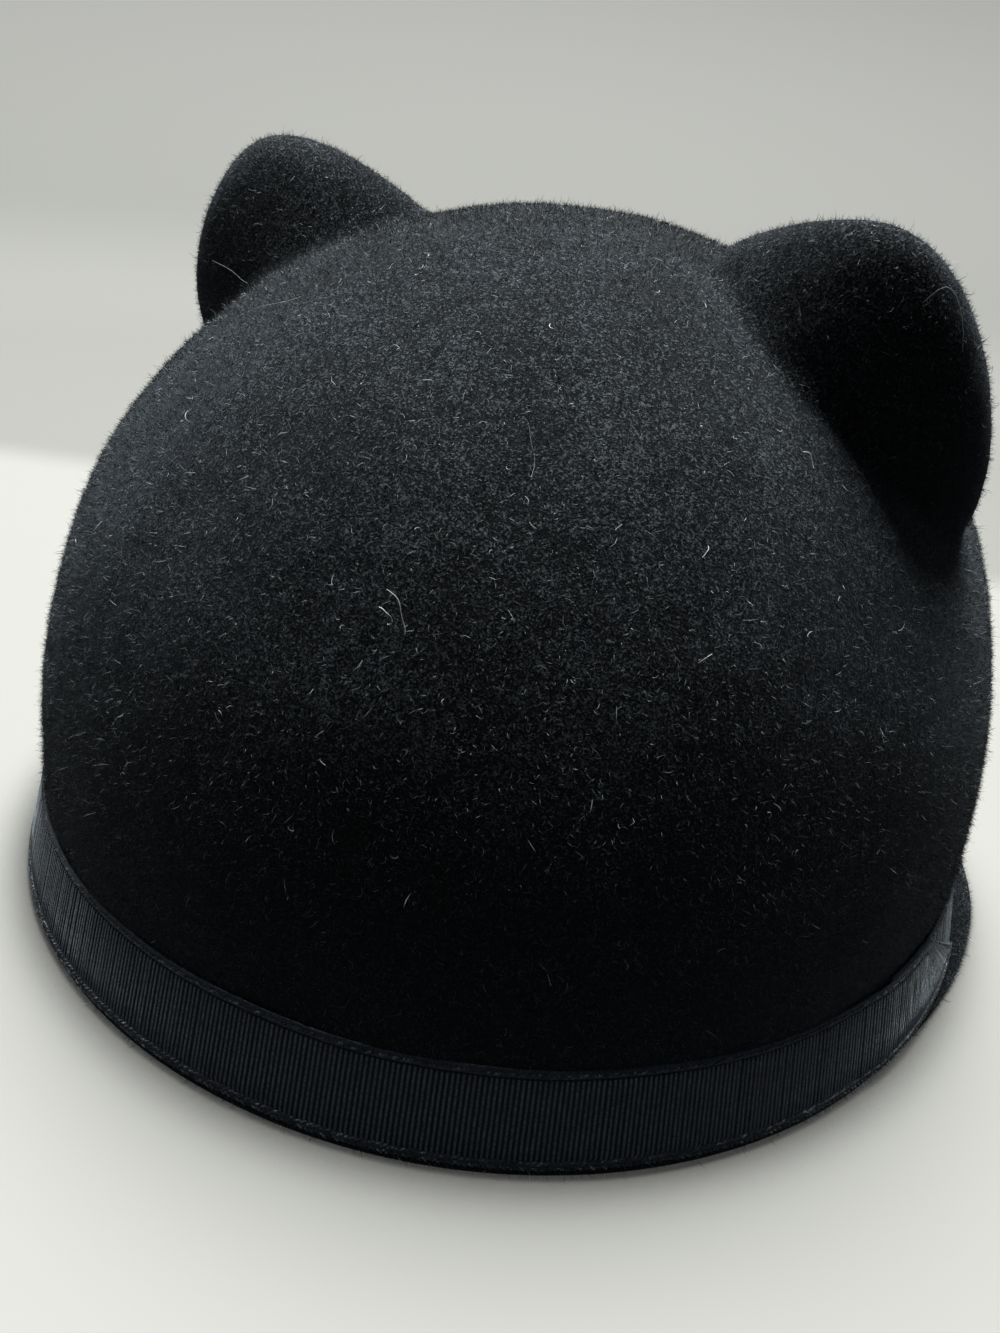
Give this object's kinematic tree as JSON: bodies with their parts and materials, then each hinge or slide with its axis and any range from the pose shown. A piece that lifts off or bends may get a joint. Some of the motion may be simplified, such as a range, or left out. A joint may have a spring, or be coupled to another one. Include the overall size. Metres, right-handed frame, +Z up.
{
  "type": "equestrian cap",
  "caption": "Deep round felt riding-style cap with two blocked ears, a ribbon band round the base and a short sloping peak.",
  "frame": {"origin": "middle of the box round the cap, on the surface it rests on", "axes": "+Z up from the rim to the top of the crown, -Y towards the peak, +X towards the wearer's left"},
  "size_m": [0.1964, 0.2372, 0.1293],
  "materials": {
    "felt": "dense brushed wool felt, near black, with short fuzz",
    "ribbon": "corded ribbon, near black, with cross ribs and a soft sheen"
  },
  "bodies": {
    "root": {"felt_crown": "felt", "ribbon_band": "ribbon"}
  },
  "joints": []
}
